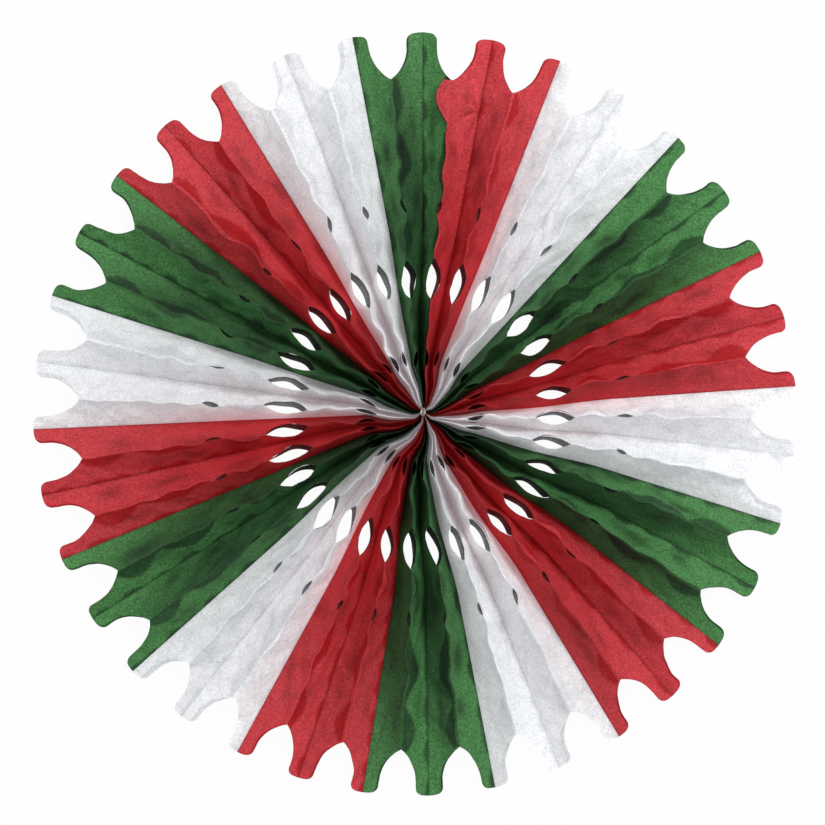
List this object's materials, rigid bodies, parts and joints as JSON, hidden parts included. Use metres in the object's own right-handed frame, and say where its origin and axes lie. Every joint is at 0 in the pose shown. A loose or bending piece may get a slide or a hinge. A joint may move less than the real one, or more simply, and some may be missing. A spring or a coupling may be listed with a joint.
{
  "type": "paper fan medallion",
  "caption": "Round folded tissue-paper rosette with a scalloped, toothed rim and die-cut openings, in sectors of red, white and green, tied at its hub with wire.",
  "frame": {"origin": "on the fan's own axis at its hub, in the plane that its back folds rest on", "axes": "+Z out of the front face, +Y towards the top as hung, +X to the right seen from the front"},
  "size_m": [0.6009, 0.6011, 0.0302],
  "materials": {
    "red_tissue": "thin matt tissue paper, slightly see-through",
    "white_tissue": "thin matt tissue paper, slightly see-through",
    "green_tissue": "thin matt tissue paper, slightly see-through",
    "binding_wire": "dull twisted wire"
  },
  "bodies": {
    "root": {"red_tissue_1": "red_tissue", "white_tissue_1": "white_tissue", "green_tissue_1": "green_tissue", "red_tissue_2": "red_tissue", "white_tissue_2": "white_tissue", "green_tissue_2": "green_tissue", "red_tissue_3": "red_tissue", "white_tissue_3": "white_tissue", "green_tissue_3": "green_tissue", "red_tissue_4": "red_tissue", "white_tissue_4": "white_tissue", "green_tissue_4": "green_tissue", "red_tissue_5": "red_tissue", "white_tissue_5": "white_tissue", "green_tissue_5": "green_tissue", "red_tissue_6": "red_tissue", "white_tissue_6": "white_tissue", "green_tissue_6": "green_tissue", "binding_wire": "binding_wire"}
  },
  "joints": []
}
